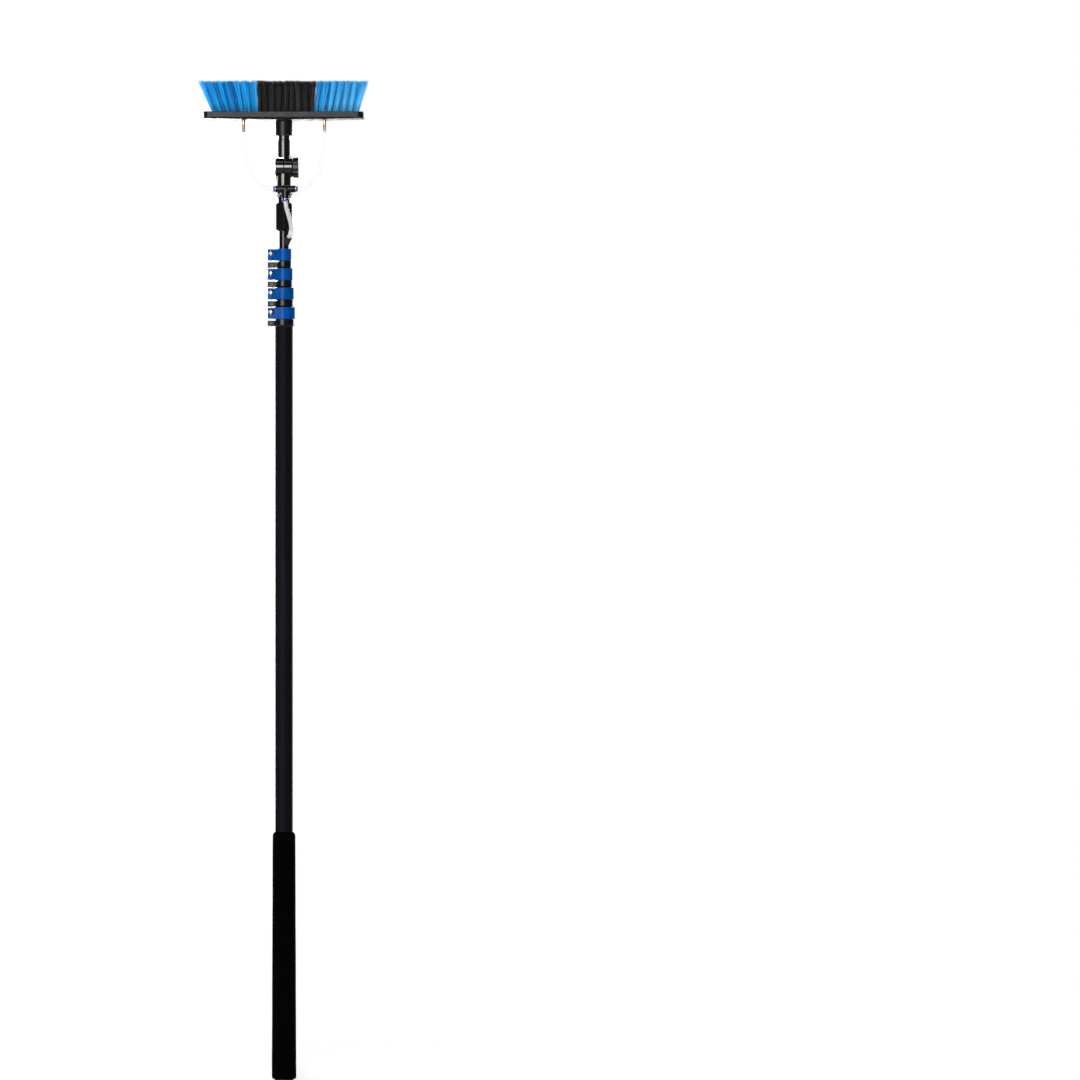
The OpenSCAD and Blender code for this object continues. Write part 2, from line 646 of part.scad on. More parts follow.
// Places children at the left, right and lower ports, with +Z out of the port, from its face
module at_side(s) {
  translate([tee_x + s * tee_half, tee_y, tee_z]) rotate([0, s * 90, 0]) children();
}
module at_feed() {
  translate([tee_x, tee_y, tee_leg_z]) rotate([180, 0, 0]) children();
}
// Both kinds of port in turn, for pieces that every port has
module side_ports() {
  at_side(-1) children();
  at_side(1) children();
}

// Cartridge bore, tube stop and flow passage of one port
module port_bores(port, depth) {
  translate([0, 0, -port_depth]) cylinder(r = port[1], h = port_depth + eps);
  translate([0, 0, -port_depth - 4]) cylinder(r = port[0] + 0.05, h = 10);
  translate([0, 0, -depth]) cylinder(r = 2, h = depth);
}

// Moulded body: two arms, a leg, a ridge, a centre facet and two lugs
module tee_body() {
  color(black_plastic) difference() {
    union() {
      side_ports() rotate_extrude() polygon([[0, -tee_half], [tee_arm_r, -tee_half],
        [tee_arm_r, -1], [tee_arm_r - 0.8, 0], [0, 0]]);
      at_feed() rotate_extrude() polygon([[0, tee_leg_z - tee_z], [tee_leg_r, tee_leg_z - tee_z],
        [tee_leg_r, -1], [tee_leg_r - 0.6, 0], [0, 0]]);
      translate([tee_x, tee_y, tee_z]) {
        intersection() {
          sphere(r = tee_leg_r + 0.4);
          translate([-tee_leg_r, -10, -10]) cube([2 * tee_leg_r, 20, 20]);
        }
        // Ridge along the top
        slab_y([[-7, 5.5], [-5.2, 7.6], [5.2, 7.6], [7, 5.5]], 2);
        // Centre facet
        translate([0, -5, 0]) slab_y([[-3.4, -4.5], [0, 0.8], [3.4, -4.5]], 2.9);
      }
      for (x = lug_x) translate([x, tee_y, lug_z]) rod_y(lug_r, -3.4, 2.6);
    }
    side_ports() port_bores(side_port, tee_half + 0.5);
    at_feed() port_bores(feed_port, tee_z - tee_leg_z);
    for (x = lug_x) translate([x, tee_y, lug_z]) rod_y(1.5, -3.4 - eps, 2.6 + eps);
  }
}

// Brass ring at the mouth of a port
module port_ring(port) {
  difference() {
    union() {
      translate([0, 0, -4.5]) cylinder(r = port[1] - fixed_gap, h = 5);
      translate([0, 0, fixed_gap]) cylinder(r = port[3], h = 0.9);
    }
    translate([0, 0, -6]) cylinder(r = port[2], h = 8);
  }
}
module tee_rings() {
  color(brass) {
    side_ports() port_ring(side_port);
    at_feed() port_ring(feed_port);
  }
}

// Thin steel ring whose teeth hold the tube
module grab_ring(port) {
  translate([0, 0, -7]) ring(port[1] - fixed_gap, port[0] + 0.1, 0.5);
}
module tee_grab_rings() {
  color(steel) {
    side_ports() grab_ring(side_port);
    at_feed() grab_ring(feed_port);
  }
}

// Rubber ring that seals on the tube
module port_seal(port) {
  r = (port[1] - port[0] - 0.2) / 2;
  translate([0, 0, -port_depth + r + fixed_gap]) rotate_extrude()
    translate([port[0] + 0.1 + r, 0]) circle(r = min(r, 0.9), $fn = 24);
}
module tee_seals() {
  color(rubber) {
    side_ports() port_seal(side_port);
    at_feed() port_seal(feed_port);
  }
}

// Release collar: a sleeve round the tube and a flange to press
module collar(port) {
  sleeve = port[2] - 0.15;
  color(collar_blue) rotate_extrude() polygon([[port[0] + 0.1, -5], [sleeve - 0.5, -5],
    [sleeve, -4.4], [sleeve, 2.1], [port[4] - 0.7, 2.5], [port[4], 3], [port[4] - 0.2, 3.9],
    [port[0] + 0.8, 3.9], [port[0] + 0.1, 3.2]]);
}
module collar_left() { at_side(-1) collar(side_port); }
module collar_right() { at_side(1) collar(side_port); }
module collar_feed() { at_feed() collar(feed_port); }

// Nylon tie round the back of the arm, with an end in each lug of the tee and its tail at the left
module cable_tie() {
  back_y = tee_y + 4;
  // Where a straight run from behind a lug meets the wrap, as an angle round the arm
  function leaves(x, turn) = atan2(back_y, x) + turn * acos(tie_wrap_r / norm([x, back_y]));
  left_x = lug_x[0] - 0.6;
  right_x = lug_x[1] + 0.6;
  left_a = leaves(left_x, -1) + 360;
  right_a = leaves(right_x, 1);
  path = concat(
    [for (y = [-1, 1, 2.6]) [lug_x[0], tee_y + y, lug_z]],
    [[left_x, back_y, lug_z]],
    [for (i = [0:24]) concat(polar(tie_wrap_r, left_a + (right_a - left_a) * i / 24), [lug_z])],
    [[right_x, back_y, lug_z]],
    [for (y = [2.6, 1, -1]) [lug_x[1], tee_y + y, lug_z]]);
  tail = [for (p = [[0.8, 0], [2.4, 1.4], [3.5, 3.2], [4.1, 5.2]])
    [lug_x[0] - p[0], back_y, lug_z - p[1]]];
  color(nylon) {
    cord(path, tie_r, [0, 0, 1]);
    cord(tail, tie_r - 0.05, [1, 0, 0]);
  }
}

// ---- Hoses ----

// Clear tube from a side port, round and up over the lower barbs
module jet_tube(s) {
  r = jet_tube_d / 2;
  port = [tee_x + s * (tee_half - 12.5), tee_y, tee_z];
  mouth = [tee_x + s * (tee_half + 5), tee_y, tee_z];
  up = [s * jet_x, 0, stock_z + crown(jet_x) - 34];
  curve = cubic([mouth, mouth + [s * 34, 0, 0], up - [0, 0, 46], up], 18);
  top = [for (dz = [3, 6, 8.5, 11, 14, 17]) up + [0, 0, dz]];
  path = concat([port], curve, top);
  flare = [for (p = path) min(1, max(0, (p[2] - up[2] - 5) / 4)) * 1.1];
  color(clear) pipe(path, [for (f = flare) r + f], [for (f = flare) r - 0.75 + f * 1.15], [0, 1, 0]);
}
module jet_tube_left() { jet_tube(-1); }
module jet_tube_right() { jet_tube(1); }

// Clear feed hose: from the tee, in through the tip tube's side and down inside the pole
function on_entry_line(rho) = concat(rho * [cos(entry_azimuth), sin(entry_azimuth)],
  [entry_z + (rho - section_r(top_section)) / tan(entry_tilt)]);
hose_end_z = 20;
module feed_hose() {
  r = hose_d / 2;
  top = [tee_x, tee_y, tee_leg_z + 12.5];
  mouth = [tee_x, tee_y, tee_leg_z - 4.5];
  outer = on_entry_line(17);
  inner = on_entry_line(7);
  down = [0, 0, inner[2] - 26];
  along = (outer - inner) / 10;
  path = concat([top], cubic([mouth, mouth - [0, 0, 20], outer + 12 * along, outer], 14),
    cubic([inner, inner - 5 * along, down + [0, 0, 12], down], 12), [[0, 0, hose_end_z]]);
  color(clear) pipe(path, [for (p = path) r], [for (p = path) r - 1.25], [0, 1, 0]);
}

// Stiff stem on the hose's lower end, for a push-fit coupling
module hose_stem() {
  r = hose_d / 2;
  color(black_plastic) rotate_extrude() polygon([[1.8, 0], [r, 0], [r, 17], [r + 0.6, 17],
    [r + 0.6, hose_end_z - fixed_gap], [r - 1.3, hose_end_z - fixed_gap], [r - 1.3, hose_end_z + 22],
    [1.8, hose_end_z + 22]]);
}

butt_cap();
hand_grip();
base_tube();
tip_tube();
guide_plug(top_section);  // guide_plug_tip
for (k = [2:4]) {
  section_tube(k);
  guide_plug(k);
}
for (k = [1:4]) {
  clamp_body(k);
  clamp_lever(k);
  lever_pin(k);
  tension_bolt(k);
  pinch_screw(k);
}
hose_grommet();
hex_sleeve();
lower_arm();
upper_arm();
friction_disc();
joint_bolt();
bolt_cover();
knob_washer();
knob_insert();
knob();
brush_stock();
bristles_left();
bristles_middle();
bristles_right();
jet_barbs();
jet_nozzles();
tee_body();
tee_rings();
tee_grab_rings();
tee_seals();
collar_left();
collar_right();
collar_feed();
cable_tie();
jet_tube_left();
jet_tube_right();
feed_hose();
hose_stem();
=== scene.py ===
"""Looks of the telescopic window cleaning pole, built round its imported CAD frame.

Metres, +Z up the pole, +X towards the joint's knob, the front faces -Y."""

import json
import math

import bpy
import numpy as np
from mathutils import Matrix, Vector


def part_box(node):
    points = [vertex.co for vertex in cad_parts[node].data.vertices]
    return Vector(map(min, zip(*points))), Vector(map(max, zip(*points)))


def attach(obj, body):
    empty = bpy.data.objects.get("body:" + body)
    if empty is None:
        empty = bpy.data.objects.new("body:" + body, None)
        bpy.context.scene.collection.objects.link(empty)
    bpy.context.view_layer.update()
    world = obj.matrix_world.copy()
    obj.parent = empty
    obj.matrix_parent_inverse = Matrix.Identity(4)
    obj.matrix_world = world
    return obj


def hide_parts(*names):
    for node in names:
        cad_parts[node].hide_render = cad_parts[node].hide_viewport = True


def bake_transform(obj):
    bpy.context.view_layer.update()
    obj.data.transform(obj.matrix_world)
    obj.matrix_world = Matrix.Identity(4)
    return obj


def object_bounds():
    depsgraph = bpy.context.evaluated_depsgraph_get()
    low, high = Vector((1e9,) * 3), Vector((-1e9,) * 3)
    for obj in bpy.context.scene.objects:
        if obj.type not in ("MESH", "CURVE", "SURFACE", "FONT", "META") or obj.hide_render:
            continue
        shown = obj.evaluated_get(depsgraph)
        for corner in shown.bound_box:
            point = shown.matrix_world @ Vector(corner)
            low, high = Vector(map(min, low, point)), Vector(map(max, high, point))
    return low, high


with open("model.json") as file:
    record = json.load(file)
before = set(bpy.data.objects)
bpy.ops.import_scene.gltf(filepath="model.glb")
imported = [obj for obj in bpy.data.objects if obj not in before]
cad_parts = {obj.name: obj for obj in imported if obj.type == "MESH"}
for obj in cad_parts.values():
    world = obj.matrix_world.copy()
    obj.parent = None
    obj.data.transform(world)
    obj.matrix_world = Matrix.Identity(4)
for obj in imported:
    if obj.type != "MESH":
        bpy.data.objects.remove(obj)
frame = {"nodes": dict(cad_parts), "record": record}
cad_low, cad_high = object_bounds()

MM = 0.001
rng = np.random.default_rng(7)


def middle(node):
    low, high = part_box(node)
    return (low + high) / 2


# ---- Materials ----

# Sockets of a Mix node that mixes colours.
MIX_FIRST, MIX_SECOND, MIX_RESULT = 6, 7, 2
# Cosine between a face's normal and its rounded one: on flats, and on a sharp edge.
FLAT_COSINE, EDGE_COSINE = 0.995, 0.86

class Material:
    """A procedural material round one Principled shader, its textures placed in metres."""

    def __init__(self, name):
        self.data = bpy.data.materials.new(name)
        self.data.use_nodes = True
        self.nodes = self.data.node_tree.nodes
        self.links = self.data.node_tree.links
        self.place = self.node("TexCoord").outputs["Object"]

    def node(self, kind, **settings):
        made = self.nodes.new("ShaderNode" + kind)
        for name, value in settings.items():
            setattr(made, name, value)
        return made

    def put(self, socket, value):
        if isinstance(value, bpy.types.NodeSocket):
            self.links.new(value, socket)
        elif socket.type == "RGBA":
            socket.default_value = (*value, 1)
        else:
            socket.default_value = value

    def math(self, operation, *values):
        made = self.node("Math", operation=operation)
        for socket, value in zip(made.inputs, values):
            self.put(socket, value)
        return made.outputs[0]

    def stretched(self, size, stretch):
        """The place in units of size, with each axis drawn out by stretch."""
        made = self.node("Mapping")
        self.put(made.inputs["Vector"], self.place)
        made.inputs["Scale"].default_value = [1 / (size * s) for s in stretch]
        return made.outputs[0]

    def noise(self, size, stretch=(1, 1, 1), detail=2.0):
        made = self.node("TexNoise")
        self.put(made.inputs["Vector"], self.stretched(size, stretch))
        made.inputs["Scale"].default_value = 1
        made.inputs["Detail"].default_value = detail
        return made.outputs["Fac"]

    def cells(self, size, stretch=(1, 1, 1)):
        made = self.node("TexVoronoi")
        self.put(made.inputs["Vector"], self.stretched(size, stretch))
        made.inputs["Scale"].default_value = 1
        return made.outputs["Distance"]

    def span(self, value, low, high, start=0.0, end=1.0):
        """value's range low to high carried over to start to end, and held at its ends."""
        made = self.node("MapRange")
        for socket, number in zip(made.inputs, (value, low, high, start, end)):
            self.put(socket, number)
        return made.outputs[0]

    def mix(self, share, first, second, blend="MIX"):
        made = self.node("Mix", data_type="RGBA", blend_type=blend)
        self.put(made.inputs["Factor"], share)
        self.put(made.inputs[MIX_FIRST], first)
        self.put(made.inputs[MIX_SECOND], second)
        return made.outputs[MIX_RESULT]

    def attribute(self, name):
        return self.node("Attribute", attribute_name=name).outputs["Fac"]

    def rounding(self, radius):
        """Normals that round off sharp edges."""
        made = self.node("Bevel", samples=6)
        made.inputs["Radius"].default_value = radius
        return made.outputs[0]

    def edges(self, rounded):
        """1 along sharp edges, 0 on flats."""
        made = self.node("VectorMath", operation="DOT_PRODUCT")
        self.put(made.inputs[0], rounded)
        self.put(made.inputs[1], self.node("NewGeometry").outputs["Normal"])
        return self.span(made.outputs["Value"], FLAT_COSINE, EDGE_COSINE)

    def facing(self, blend):
        made = self.node("LayerWeight")
        made.inputs["Blend"].default_value = blend
        return made.outputs["Facing"]

    def bump(self, height, depth, normal=None):
        made = self.node("Bump")
        made.inputs["Distance"].default_value = depth
        self.put(made.inputs["Height"], height)
        if normal is not None:
            self.put(made.inputs["Normal"], normal)
        return made.outputs[0]

    def shade(self, **inputs):
        shader = self.nodes["Principled BSDF"]
        for name, value in inputs.items():
            self.put(shader.inputs[name.replace("_", " ").title().replace("Ior", "IOR")], value)
        return self.data


def scaled(colour, factor):
    return [factor * c for c in colour]


def moulded(
    name, colour, worn, rough, specular,
    grain=0.25 * MM, depth=0.02 * MM, radius=0.45 * MM, ripple=0.0, chips=7 * MM,
):
    """Moulded plastic: fine grain, cloudy sheen, rounded edges that are worn a little lighter.

    grain and depth are the grain's size and height, radius rounds the edges, ripple is the height
    of slow waves in the surface, and chips is the size of the worn spots along the edges."""
    m = Material(name)
    rounded = m.rounding(radius)
    wear = m.math("MULTIPLY", m.edges(rounded), m.span(m.noise(chips, detail=5), 0.42, 0.66))
    cloud = m.span(m.noise(22 * MM, detail=4), 0.3, 0.7)
    shade = m.mix(cloud, scaled(colour, 0.85), scaled(colour, 1.15))
    waves = m.bump(m.noise(4 * MM, (1, 1, 1.6), 2), ripple, rounded)
    bumps = m.bump(m.noise(grain, detail=3), depth, waves)
    return m.shade(
        base_color=m.mix(wear, shade, worn),
        roughness=m.span(m.noise(9 * MM, detail=4), 0.25, 0.75, rough - 0.05, rough + 0.06),
        specular_ior_level=specular,
        normal=bumps,
    )


def anodised(name, colour, rough, specular):
    """Drawn tube with fine lines along it and faint rubbed patches."""
    m = Material(name)
    lines = m.noise(0.35 * MM, (1, 1, 400), 3)
    rubbed = m.span(m.noise(30 * MM, (1, 1, 6), 5), 0.55, 0.75)
    shade = m.mix(rubbed, colour, scaled(colour, 1.7))
    return m.shade(
        base_color=m.mix(m.span(lines, 0.3, 0.7, 0, 0.5), shade, scaled(colour, 0.6)),
        roughness=m.span(lines, 0.25, 0.75, rough - 0.06, rough + 0.06),
        specular_ior_level=specular,
        normal=m.bump(lines, 0.01 * MM),
    )


def foam(name, colour):
    """Closed-cell foam: small pits, a little lighter on the rubbed high spots."""
    m = Material(name)
    pits = m.cells(0.9 * MM)
    lumps = m.noise(5 * MM, detail=5)
    height = m.math("ADD", m.math("MULTIPLY", pits, 0.5), lumps)
    return m.shade(
        base_color=m.mix(m.span(lumps, 0.35, 0.7), scaled(colour, 0.6), scaled(colour, 1.5)),
        roughness=m.span(pits, 0.1, 0.7, 0.82, 0.98),
        specular_ior_level=0.02,
        normal=m.bump(height, 0.22 * MM),
    )


def rubber(name, colour):
    """Soft dull rubber with scuffs."""
    m = Material(name)
    rounded = m.rounding(0.6 * MM)
    scuffs = m.span(m.noise(3 * MM, (1, 1, 0.4), 6), 0.5, 0.8)
    return m.shade(
        base_color=m.mix(scuffs, colour, scaled(colour, 2.2)),
        roughness=m.span(scuffs, 0, 1, 0.55, 0.75),
        specular_ior_level=0.3,
        normal=m.bump(m.noise(0.6 * MM, detail=4), 0.04 * MM, rounded),
    )


def metal(name, light, dark, rough, lines):
    """Machined metal with turning or drawing lines, and tarnish in patches."""
    m = Material(name)
    rounded = m.rounding(0.2 * MM)
    tool = m.noise(0.25 * MM, lines, 2)
    tarnish = m.span(m.noise(4 * MM, detail=5), 0.4, 0.7)
    wear = m.math("ADD", tool, m.math("MULTIPLY", tarnish, 0.5))
    return m.shade(
        base_color=m.mix(tarnish, light, dark),
        metallic=1.0,
        roughness=m.span(wear, 0.3, 1.1, rough - 0.06, rough + 0.12),
        normal=m.bump(tool, 0.012 * MM, rounded),
    )


def clear_hose(name, tint, low_alpha, high_alpha, rough):
    """Clear flexible tube: see-through face on, denser at its sides, with a slight haze."""
    m = Material(name)
    haze = m.span(m.noise(14 * MM, (1, 1, 3), 3), 0.3, 0.75, 0, 0.06)
    side = m.span(m.facing(0.5), 0.15, 0.95, low_alpha, high_alpha)
    return m.shade(
        base_color=m.mix(haze, tint, (0.9, 0.92, 0.93)),
        roughness=m.span(m.noise(6 * MM, detail=3), 0.3, 0.7, rough, rough + 0.1),
        specular_ior_level=0.5,
        alpha=m.math("ADD", side, haze),
        normal=m.bump(m.noise(9 * MM, (1, 1, 5), 1), 0.03 * MM),
    )


def filament(name, dark, typical, pale, rough, specular):
    """Bristle filaments. Each has a tone of its own, and painted shade makes it darker at its foot
    than at its tip.
    """
    m = Material(name)
    # The tone attribute carries each filament's own tone times its row's painted shade; the pale
    # attribute carries a pale tone of its own plus a painted reflection.
    tone, along, pale_and_painted_reflection = m.attribute("tone"), m.attribute("along"), m.attribute("pale")
    colour = m.mix(m.span(tone, 0.0, 0.6), dark, typical)
    colour = m.mix(pale_and_painted_reflection, colour, pale)
    # Painted shade: each filament is darker towards its foot, where the tufts shade one another.
    painted_root_shade = m.span(along, 0.0, 0.3, 0.55, 1.0)
    return m.shade(
        base_color=m.mix(1, colour, painted_root_shade, "MULTIPLY"),
        roughness=m.span(tone, 0, 1, rough + 0.1, rough - 0.06),
        specular_ior_level=specular,
        normal=m.bump(m.noise(0.5 * MM, (1, 1, 14), 2), 0.02 * MM),
    )


# How far the tool marks are drawn out along each axis, on turned rods and elsewhere.
TURNED, BRUSHED = (9, 9, 0.2), (6, 6, 6)
GREY = (1, 1, 1)
materials = {
    "tube": anodised("anodised_black", (0.0044, 0.0033, 0.0056), 0.5, 0.02),
    "tip_tube": anodised("anodised_black_tip", (0.0015, 0.0013, 0.0018), 0.2, 0.2),
    "black_plastic": moulded(
        "black_plastic", (0.0036, 0.0034, 0.0037), scaled(GREY, 0.016), 0.2, 0.14
    ),
    "joint_plastic": moulded(
        "joint_plastic", (0.0030, 0.0028, 0.0034), scaled(GREY, 0.014), 0.12, 0.37,
        grain=0.8 * MM, depth=0.006 * MM, radius=0.6 * MM, ripple=0.05 * MM,
    ),
    "knob_plastic": moulded(
        "knob_plastic", (0.0042, 0.0040, 0.0044), scaled(GREY, 0.02), 0.36, 0.26,
        grain=0.7 * MM, depth=0.03 * MM, radius=0.8 * MM, ripple=0.03 * MM,
    ),
    "stock_plastic": moulded(
        "stock_plastic", (0.0040, 0.0038, 0.0040), (0.24, 0.23, 0.23), 0.27, 0.105,
        grain=0.5 * MM, depth=0.05 * MM, radius=1.3 * MM, ripple=0.02 * MM, chips=1.6 * MM,
    ),
    "grip_foam": foam("grip_foam", (0.0002, 0.0002, 0.00025)),
    "cap_rubber": rubber("cap_rubber", scaled(GREY, 0.0015)),
    "seal_rubber": rubber("seal_rubber", scaled(GREY, 0.0015)),
    "lever_blue": moulded("lever_blue", (0.0, 0.042, 0.19), (0.04, 0.2, 0.48), 0.2, 0.045),
    "collar_blue": moulded(
        "collar_blue", (0.003, 0.012, 0.32), (0.06, 0.1, 0.5), 0.24, 0.35,
        grain=0.3 * MM, depth=0.006 * MM, radius=0.25 * MM,
    ),
    "steel": metal("steel", (0.24, 0.235, 0.235), scaled(GREY, 0.08), 0.3, BRUSHED),
    "black_steel": metal(
        "black_steel", (0.035, 0.034, 0.035), scaled(GREY, 0.012), 0.24, BRUSHED
    ),
    "brass": metal("brass", (0.62, 0.46, 0.25), (0.26, 0.17, 0.08), 0.28, TURNED),
    "nylon": moulded(
        "nylon", (0.42, 0.42, 0.41), (0.55, 0.55, 0.54), 0.3, 0.3,
        grain=0.3 * MM, depth=0.006 * MM, radius=0.2 * MM,
    ),
    "clear_tube": clear_hose("clear_tube", (0.57, 0.58, 0.60), 0.32, 0.7, 0.08),
    "bristle_blue": filament(
        "bristle_blue", (0.0, 0.085, 0.32), (0.0, 0.40, 0.95), (0.15, 0.64, 0.96), 0.34, 0.08
    ),
    "bristle_black": filament(
        "bristle_black", (0.0008, 0.0007, 0.0008), (0.011, 0.0102, 0.011), (0.08, 0.075, 0.075),
        0.32, 0.18,
    ),
}
faint_tube = clear_hose("clear_tube_thin", (0.62, 0.62, 0.60), 0.04, 0.2, 0.3)
slots = {part["node"]: part["material_slot"] for part in frame["record"]["subparts"]}
# Nodes whose finish differs from the rest of their material slot.
own_material = {"tip_tube": "tip_tube", "knob": "knob_plastic"}
own_material.update({node: "black_steel" for node in slots if node.startswith("pinch_screw")})


def dress(piece, material):
    piece.data.materials.clear()
    piece.data.materials.append(material)


for name, node in frame["nodes"].items():
    dress(node, materials[own_material.get(name, slots[name])])


# ---- Mesh helpers ----


def mesh_piece(name, points, faces, stands_for):
    """A smooth piece in the finish of the CAD node that it stands for."""
    data = bpy.data.meshes.new(name)
    data.from_pydata(np.asarray(points).reshape(-1, 3).tolist(), [], np.asarray(faces).tolist())
    data.polygons.foreach_set("use_smooth", [True] * len(data.polygons))
    piece = bpy.data.objects.new(name, data)
    bpy.context.scene.collection.objects.link(piece)
    dress(piece, materials[slots[stands_for]])
    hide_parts(stands_for)
    return piece


def grid_faces(rows, columns):
    """Faces between neighbouring closed rings of a grid of rows by columns points."""
    r, c = np.meshgrid(np.arange(rows - 1), np.arange(columns), indexing="ij")
    a, b = r * columns + c, r * columns + (c + 1) % columns
    return np.stack([a, b, b + columns, a + columns], axis=-1).reshape(-1, 4)


def rings(path, radii, sides, across):
    """A ring of points round each point of the path, square to it.

    across is a direction that is never parallel to the path."""
    path = np.asarray(path, float)
    tangent = np.gradient(path, axis=0)
    tangent /= np.linalg.norm(tangent, axis=1, keepdims=True)
    u = np.cross(tangent, across)
    u /= np.linalg.norm(u, axis=1, keepdims=True)
    v = np.cross(tangent, u)
    angle = np.linspace(0, 2 * np.pi, sides, endpoint=False)[None, :, None]
    outward = np.cos(angle) * u[:, None] + np.sin(angle) * v[:, None]
    return path[:, None] + np.asarray(radii, float)[:, None, None] * outward


def hollow(path, outside, inside, sides, across):
    """Points and faces of a hose with a wall: up its outside, down its bore and back."""
    outer = rings(path, outside, sides, across)
    inner = rings(path, inside, sides, across)[::-1]
    points = np.concatenate([outer, inner, outer[:1]])
    faces = grid_faces(len(points), sides)
    last = (len(points) - 1) * sides
    return points[:-1], np.where(faces >= last, faces - last, faces)


def cubic(points, steps):
    """Points along the Bezier curve of four control points."""
    t = np.linspace(0, 1, steps)[:, None]
    a, b, c, d = (np.asarray(q, float)[None] for q in points)
    return (1 - t) ** 3 * a + 3 * (1 - t) ** 2 * t * b + 3 * (1 - t) * t**2 * c + t**3 * d


# ---- Bristles ----

TUFT_PITCH = 13.2 * MM
# Each row of tufts, from the front to the back, is shifted along X by this share of the pitch.
TUFT_PHASES = (0, 0.5, 0.25, 0.75, 0.25, 0.75)
TUFT_RADIUS = 2.75 * MM
# How far a tuft's tips spread, more than its feet.
TUFT_FAN = 5.4 * MM
TUFT_FILAMENTS = 84
# Share of the tuft's radius, or of its fan, between a field's end and its outermost tufts.
FOOT_INSET, TIP_INSET = 0.9, 0.7
DEPTH_SPREAD = 1.06
FILAMENT_RADIUS = 0.19 * MM
FILAMENT_TAPER = 0.3
FILAMENT_STEPS = 5
FILAMENT_SIDES = 4
NOZZLE_CLEARANCE = 6 * MM
NOZZLE_INSET = 3.6 * MM
# A tuft's filaments are gathered into strands on a square grid.
STRANDS_ACROSS = 6
STRAND_GATHER = 0.55
# Painted shade of the rows between the outer and inner ones, and of the inner ones: their
# filaments' tone is multiplied by these.
MIDDLE_ROW_SHADE, INNER_ROW_SHADE = 0.5, 0.12
# Share of the way in to the field's middle where those rows begin.
MIDDLE_FROM, INNER_FROM = 0.2, 0.6
# How far down the tips end: at the tuft's rim, by strand, by filament, and by tuft.
RIM_DROP, STRAND_DROP, FILAMENT_DROP, TUFT_DROP = 1.5 * MM, 3.9 * MM, 1.1 * MM, 0.5 * MM
TIP_JITTER, KNEE_JITTER, KNEE_PINCH = 0.28 * MM, 0.3 * MM, 0.4 * MM
# Turn between filaments that fills a disc evenly, in radians.
SPIRAL_TURN, TURN_JITTER = 2.39996, 0.15
# Painted glint: the share of filaments painted paler as a highlight, and how much paler they are.
GLINT_SHARE, GLINT = 0.05, 0.5


def field_spans(node):
    """Lowest and highest along X at the foot and at the tips, along Y, and along Z."""
    points = np.array([v.co for v in frame["nodes"][node].data.vertices], float)
    low, high = points.min(0), points.max(0)
    foot = points[points[:, 2] < low[2] + MM, 0]
    tips = points[points[:, 2] > high[2] - MM, 0]
    return (foot.min(), foot.max()), (tips.min(), tips.max()), (low[1], high[1]), (low[2], high[2])


def tufts(node):
    """(foot, top, painted shade) of each tuft, in staggered rows whose painted shade deepens
    inwards.

    Tufts that would cover a rinse nozzle are left out."""
    foot, tips, depth, height = field_spans(node)
    nozzle_low, nozzle_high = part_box("jet_nozzles")
    nozzles = [nozzle_low.x + NOZZLE_INSET, nozzle_high.x - NOZZLE_INSET]
    rows = np.linspace(depth[0] + TUFT_RADIUS, depth[1] - TUFT_RADIUS, len(TUFT_PHASES))
    start, end = foot[0] + FOOT_INSET * TUFT_RADIUS, foot[1] - FOOT_INSET * TUFT_RADIUS
    pitches = round((end - start) / TUFT_PITCH)
    found = []
    for phase, y in zip(TUFT_PHASES, rows):
        inward = 1 - abs(y) / rows[-1]
        # Painted shade: rows further in are darker, as if shaded by the rows outside them.
        shade = 1 if inward < MIDDLE_FROM else MIDDLE_ROW_SHADE if inward < INNER_FROM else INNER_ROW_SHADE
        for share in (np.arange(pitches + 1) + phase) / pitches:
            if share > 1:
                continue
            x = start + share * (end - start)
            tip_span = tips[1] - tips[0] - 2 * TIP_INSET * TUFT_FAN
            tip_x = tips[0] + TIP_INSET * TUFT_FAN + share * tip_span
            if min(math.hypot(x - nozzle, y) for nozzle in nozzles) > NOZZLE_CLEARANCE:
                bottom = np.array([x, y, height[0]])
                found.append((bottom, np.array([tip_x, y * DEPTH_SPREAD, height[1]]), shade))
    return found


def tuft_filaments(foot, top, wander):
    """Feet, knees, tips and tones of the filaments of one tuft, which leans by about wander."""
    n = TUFT_FILAMENTS
    spot = np.arange(n) + 0.5
    reach = np.sqrt(spot / n)
    turn = spot * SPIRAL_TURN + rng.normal(0, TURN_JITTER, n)
    disc = np.stack([reach * np.cos(turn), reach * np.sin(turn), np.zeros(n)], axis=1)
    cell = (disc[:, :2] + 1) * STRANDS_ACROSS / 2
    cell = np.clip(cell, 0, STRANDS_ACROSS - 1).astype(int)
    strand = cell[:, 0] * STRANDS_ACROSS + cell[:, 1]
    gathered = disc.copy()
    gathered[:, :2] += STRAND_GATHER * ((cell + 0.5) * 2 / STRANDS_ACROSS - 1 - disc[:, :2])
    strand_tone, strand_drop = rng.random((2, STRANDS_ACROSS**2))
    lean = rng.normal(0, wander, 2)
    crown = RIM_DROP * reach**2 + STRAND_DROP * strand_drop[strand] ** 2
    crown = crown + FILAMENT_DROP * rng.random(n) ** 2
    crown += abs(rng.normal(0, TUFT_DROP))
    feet = foot + disc * TUFT_RADIUS
    tips = top + gathered * TUFT_FAN + rng.normal(0, TIP_JITTER, (n, 3)) * (1, 1, 0)
    tips[:, :2] += lean
    tips[:, 2] -= crown
    knees = (feet + tips) / 2 + rng.normal(0, KNEE_JITTER, (n, 3)) * (1, 1, 0) - disc * KNEE_PINCH
    tone = rng.normal(0.08, 0.16) + 0.8 * strand_tone[strand] + rng.normal(0, 0.12, n)
    return feet, knees, tips, np.clip(tone, 0, 1)


